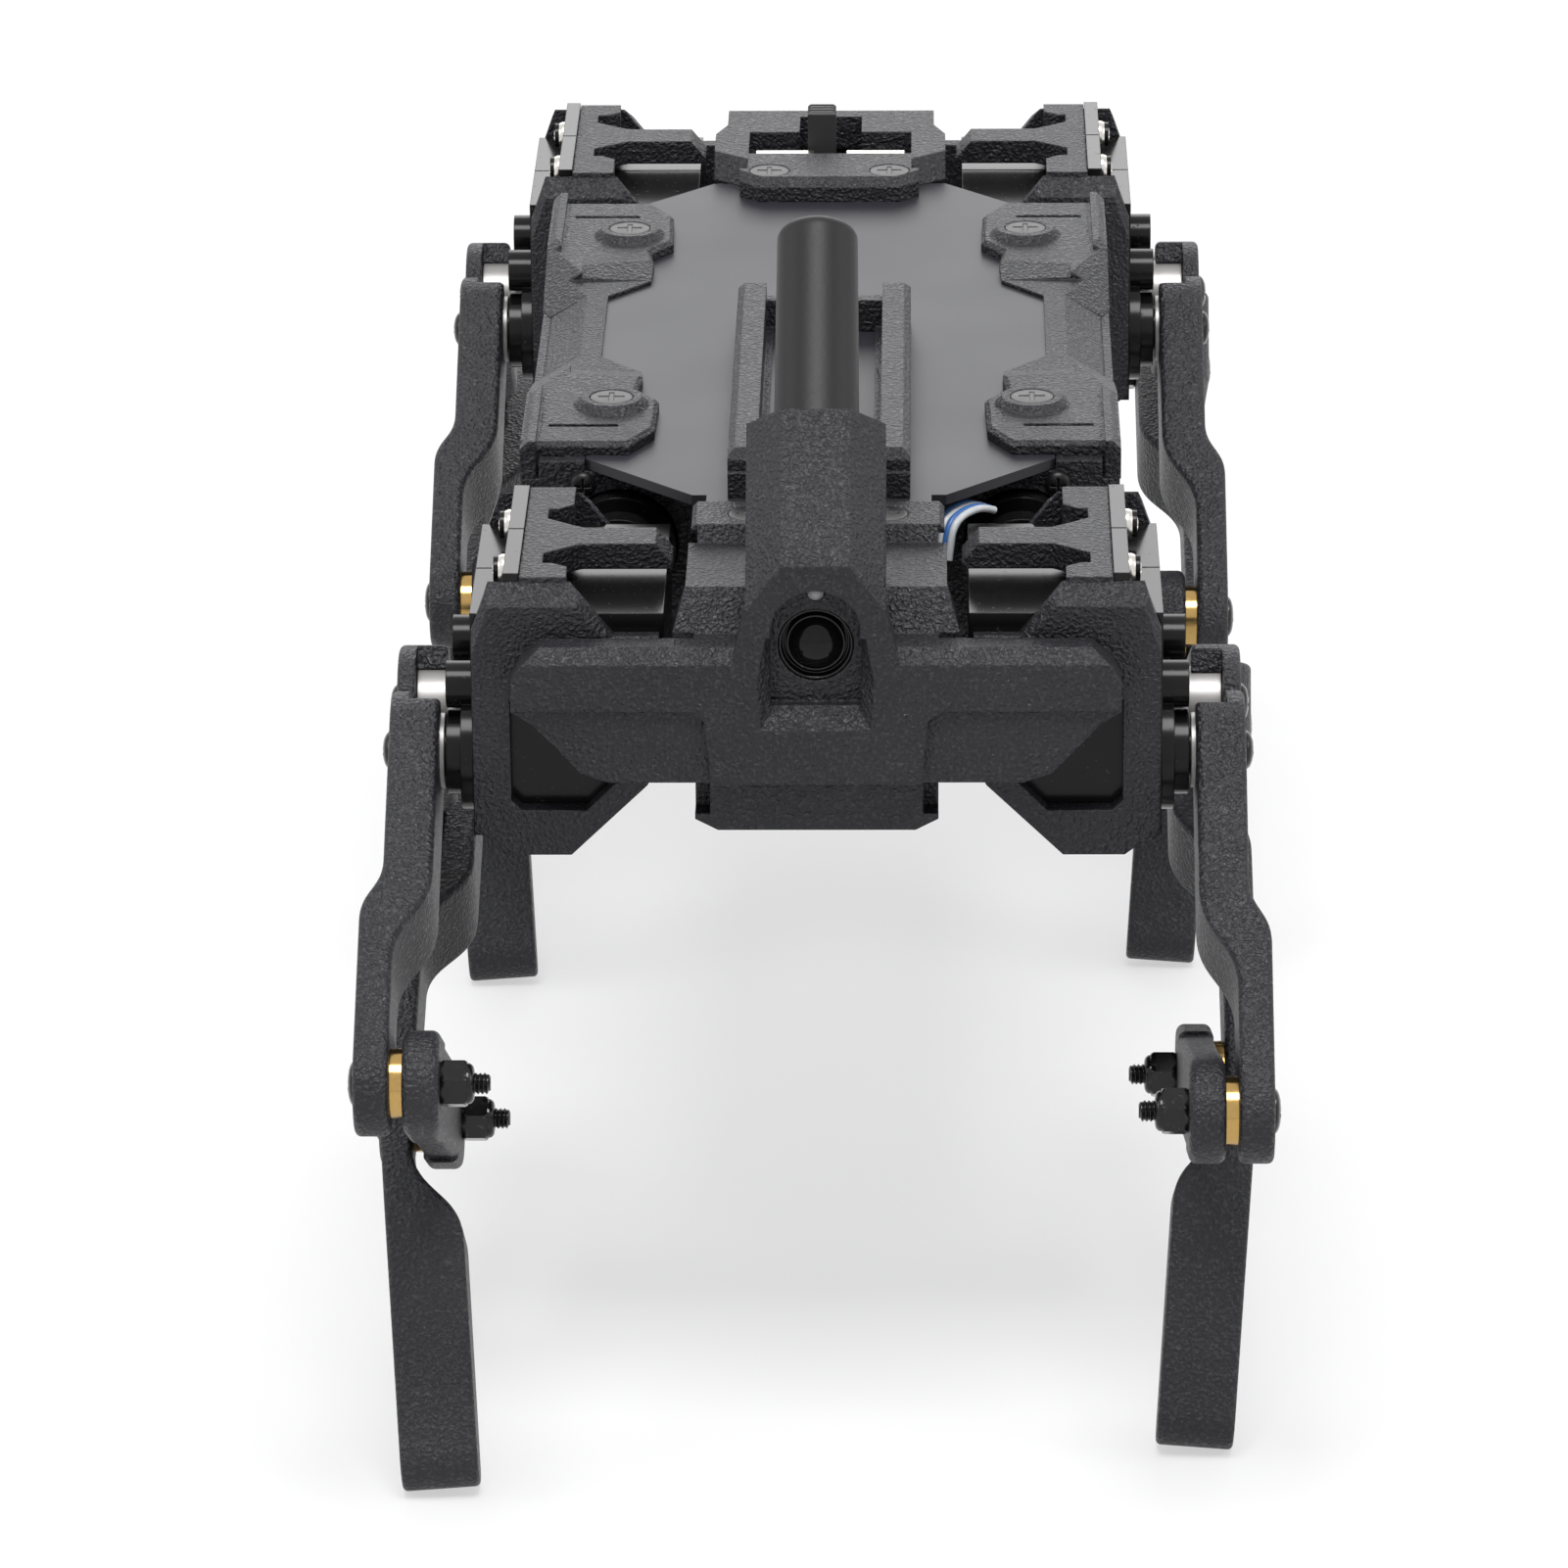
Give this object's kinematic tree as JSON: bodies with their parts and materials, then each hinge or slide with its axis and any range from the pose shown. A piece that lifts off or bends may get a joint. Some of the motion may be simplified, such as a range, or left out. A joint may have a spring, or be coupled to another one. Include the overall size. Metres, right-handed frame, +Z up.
{
  "type": "quadruped robot",
  "caption": "Four-legged walking robot with servo-driven five-bar legs, hip roll brackets, a bolted deck with side covers, a leaning stub antenna and a slide switch.",
  "frame": {"origin": "on the floor under the middle of the robot's bounding box", "axes": "+Y towards the rear, so the robot faces -Y; +X to the viewer's right when it faces the viewer; +Z up"},
  "size_m": [0.0846, 0.208, 0.1137],
  "materials": {
    "nylon_black": "grainy sintered nylon",
    "servo_gloss_black": "gloss",
    "horn_aluminium": "turned satin",
    "ring_brass": "polished",
    "fastener_black": "black oxide",
    "plate_anodised": "satin anodised sheet",
    "antenna_black": "semi-gloss",
    "lamp_lens": "gloss",
    "battery_wrap": "shrink film",
    "circuit_board": "solder mask",
    "switch_plastic": "moulded"
  },
  "bodies": {
    "chassis": {"body_frame": "nylon_black", "hip_servos": "servo_gloss_black", "battery": "battery_wrap", "control_board": "circuit_board", "top_plate": "plate_anodised", "deck_frame": "nylon_black", "side_rail_right": "nylon_black", "side_rail_left": "nylon_black", "front_cover": "nylon_black", "antenna": "antenna_black", "headlamp": "lamp_lens", "rear_cover": "nylon_black", "switch_body": "switch_plastic", "belly_cover": "nylon_black", "deck_screws": "fastener_black"},
    "switch": {"switch_knob": "switch_plastic"},
    "front_left_hip": {"front_left_hip_bracket": "nylon_black", "front_left_leg_servos": "servo_gloss_black"},
    "front_left_front_crank_arm": {"front_left_front_crank": "nylon_black", "front_left_front_horn": "horn_aluminium"},
    "front_left_rear_crank_arm": {"front_left_rear_crank": "nylon_black", "front_left_rear_horn": "horn_aluminium"},
    "front_left_link_arm": {"front_left_short_link": "nylon_black", "front_left_link_rings": "ring_brass", "front_left_knee_bolt": "fastener_black"},
    "front_left_shank_arm": {"front_left_shank": "nylon_black", "front_left_shank_bolts": "fastener_black"},
    "front_right_hip": {"front_right_hip_bracket": "nylon_black", "front_right_leg_servos": "servo_gloss_black"},
    "front_right_front_crank_arm": {"front_right_front_crank": "nylon_black", "front_right_front_horn": "horn_aluminium"},
    "front_right_rear_crank_arm": {"front_right_rear_crank": "nylon_black", "front_right_rear_horn": "horn_aluminium"},
    "front_right_link_arm": {"front_right_short_link": "nylon_black", "front_right_link_rings": "ring_brass", "front_right_knee_bolt": "fastener_black"},
    "front_right_shank_arm": {"front_right_shank": "nylon_black", "front_right_shank_bolts": "fastener_black"},
    "rear_left_hip": {"rear_left_hip_bracket": "nylon_black", "rear_left_leg_servos": "servo_gloss_black"},
    "rear_left_front_crank_arm": {"rear_left_front_crank": "nylon_black", "rear_left_front_horn": "horn_aluminium"},
    "rear_left_rear_crank_arm": {"rear_left_rear_crank": "nylon_black", "rear_left_rear_horn": "horn_aluminium"},
    "rear_left_link_arm": {"rear_left_short_link": "nylon_black", "rear_left_link_rings": "ring_brass", "rear_left_knee_bolt": "fastener_black"},
    "rear_left_shank_arm": {"rear_left_shank": "nylon_black", "rear_left_shank_bolts": "fastener_black"},
    "rear_right_hip": {"rear_right_hip_bracket": "nylon_black", "rear_right_leg_servos": "servo_gloss_black"},
    "rear_right_front_crank_arm": {"rear_right_front_crank": "nylon_black", "rear_right_front_horn": "horn_aluminium"},
    "rear_right_rear_crank_arm": {"rear_right_rear_crank": "nylon_black", "rear_right_rear_horn": "horn_aluminium"},
    "rear_right_link_arm": {"rear_right_short_link": "nylon_black", "rear_right_link_rings": "ring_brass", "rear_right_knee_bolt": "fastener_black"},
    "rear_right_shank_arm": {"rear_right_shank": "nylon_black", "rear_right_shank_bolts": "fastener_black"}
  },
  "joints": [
    {"name": "switch_slide", "type": "slide", "parent": "chassis", "child": "switch", "axis": [1, 0, 0], "range_m": [0, 0.0024]},
    {"name": "front_left_hip_roll", "type": "hinge", "parent": "chassis", "child": "front_left_hip", "pos_m": [-0.01915, -0.06228, 0.077], "axis": [0, 1, 0], "range_deg": [-10, 7]},
    {"name": "front_left_front_crank_turn", "type": "hinge", "parent": "front_left_hip", "child": "front_left_front_crank_arm", "pos_m": [-0.033, -0.06838, 0.067], "axis": [1, 0, 0], "range_deg": [-3, 18]},
    {"name": "front_left_rear_crank_turn", "type": "hinge", "parent": "front_left_hip", "child": "front_left_rear_crank_arm", "pos_m": [-0.033, -0.05618, 0.067], "axis": [1, 0, 0], "range_deg": [-18.5, 3.5]},
    {"name": "front_left_front_knee", "type": "hinge", "parent": "front_left_front_crank_arm", "child": "front_left_link_arm", "pos_m": [-0.036, -0.09918, 0.04667], "axis": [1, 0, 0], "range_deg": [-42.72, 7.54]},
    {"name": "front_left_rear_knee", "type": "hinge", "parent": "front_left_rear_crank_arm", "child": "front_left_shank_arm", "pos_m": [-0.036, -0.02647, 0.04512], "axis": [1, 0, 0], "range_deg": [-6.38, 35.77]},
    {"name": "front_right_hip_roll", "type": "hinge", "parent": "chassis", "child": "front_right_hip", "pos_m": [0.01915, -0.06228, 0.077], "axis": [0, -1, 0], "range_deg": [-10, 7]},
    {"name": "front_right_front_crank_turn", "type": "hinge", "parent": "front_right_hip", "child": "front_right_front_crank_arm", "pos_m": [0.033, -0.06838, 0.067], "axis": [1, 0, 0], "range_deg": [-3, 18]},
    {"name": "front_right_rear_crank_turn", "type": "hinge", "parent": "front_right_hip", "child": "front_right_rear_crank_arm", "pos_m": [0.033, -0.05618, 0.067], "axis": [1, 0, 0], "range_deg": [-18.5, 3.5]},
    {"name": "front_right_front_knee", "type": "hinge", "parent": "front_right_front_crank_arm", "child": "front_right_link_arm", "pos_m": [0.036, -0.09602, 0.04255], "axis": [1, 0, 0], "range_deg": [-43.32, 7.64]},
    {"name": "front_right_rear_knee", "type": "hinge", "parent": "front_right_rear_crank_arm", "child": "front_right_shank_arm", "pos_m": [0.036, -0.02263, 0.05164], "axis": [1, 0, 0], "range_deg": [-6.4, 35.89]},
    {"name": "rear_left_hip_roll", "type": "hinge", "parent": "chassis", "child": "rear_left_hip", "pos_m": [-0.01915, 0.06172, 0.077], "axis": [0, 1, 0], "range_deg": [-10, 7]},
    {"name": "rear_left_front_crank_turn", "type": "hinge", "parent": "rear_left_hip", "child": "rear_left_front_crank_arm", "pos_m": [-0.033, 0.05562, 0.067], "axis": [1, 0, 0], "range_deg": [-3, 18]},
    {"name": "rear_left_rear_crank_turn", "type": "hinge", "parent": "rear_left_hip", "child": "rear_left_rear_crank_arm", "pos_m": [-0.033, 0.06782, 0.067], "axis": [1, 0, 0], "range_deg": [-18.5, 3.5]},
    {"name": "rear_left_front_knee", "type": "hinge", "parent": "rear_left_front_crank_arm", "child": "rear_left_link_arm", "pos_m": [-0.036, 0.02437, 0.04738], "axis": [1, 0, 0], "range_deg": [-42.54, 7.51]},
    {"name": "rear_left_rear_knee", "type": "hinge", "parent": "rear_left_rear_crank_arm", "child": "rear_left_shank_arm", "pos_m": [-0.036, 0.09673, 0.04407], "axis": [1, 0, 0], "range_deg": [-6.37, 35.73]},
    {"name": "rear_right_hip_roll", "type": "hinge", "parent": "chassis", "child": "rear_right_hip", "pos_m": [0.01915, 0.06172, 0.077], "axis": [0, -1, 0], "range_deg": [-10, 7]},
    {"name": "rear_right_front_crank_turn", "type": "hinge", "parent": "rear_right_hip", "child": "rear_right_front_crank_arm", "pos_m": [0.033, 0.05562, 0.067], "axis": [1, 0, 0], "range_deg": [-3, 18]},
    {"name": "rear_right_rear_crank_turn", "type": "hinge", "parent": "rear_right_hip", "child": "rear_right_rear_crank_arm", "pos_m": [0.033, 0.06782, 0.067], "axis": [1, 0, 0], "range_deg": [-18.5, 3.5]},
    {"name": "rear_right_front_knee", "type": "hinge", "parent": "rear_right_front_crank_arm", "child": "rear_right_link_arm", "pos_m": [0.036, 0.02594, 0.04507], "axis": [1, 0, 0], "range_deg": [-42.99, 7.58]},
    {"name": "rear_right_rear_knee", "type": "hinge", "parent": "rear_right_rear_crank_arm", "child": "rear_right_shank_arm", "pos_m": [0.036, 0.09918, 0.04755], "axis": [1, 0, 0], "range_deg": [-6.39, 35.85]}
  ],
  "couplings": [
    {"joint": "front_left_rear_crank_turn", "follows": "front_left_front_crank_turn", "ratio": -1},
    {"joint": "front_left_front_knee", "follows": "front_left_front_crank_turn", "ratio": -2.3453},
    {"joint": "front_left_rear_knee", "follows": "front_left_front_crank_turn", "ratio": 1.9594},
    {"joint": "front_right_rear_crank_turn", "follows": "front_right_front_crank_turn", "ratio": -1},
    {"joint": "front_right_front_knee", "follows": "front_right_front_crank_turn", "ratio": -2.3787},
    {"joint": "front_right_rear_knee", "follows": "front_right_front_crank_turn", "ratio": 1.9662},
    {"joint": "rear_left_rear_crank_turn", "follows": "rear_left_front_crank_turn", "ratio": -1},
    {"joint": "rear_left_front_knee", "follows": "rear_left_front_crank_turn", "ratio": -2.3357},
    {"joint": "rear_left_rear_knee", "follows": "rear_left_front_crank_turn", "ratio": 1.9575},
    {"joint": "rear_right_rear_crank_turn", "follows": "rear_right_front_crank_turn", "ratio": -1},
    {"joint": "rear_right_front_knee", "follows": "rear_right_front_crank_turn", "ratio": -2.3606},
    {"joint": "rear_right_rear_knee", "follows": "rear_right_front_crank_turn", "ratio": 1.964}
  ]
}
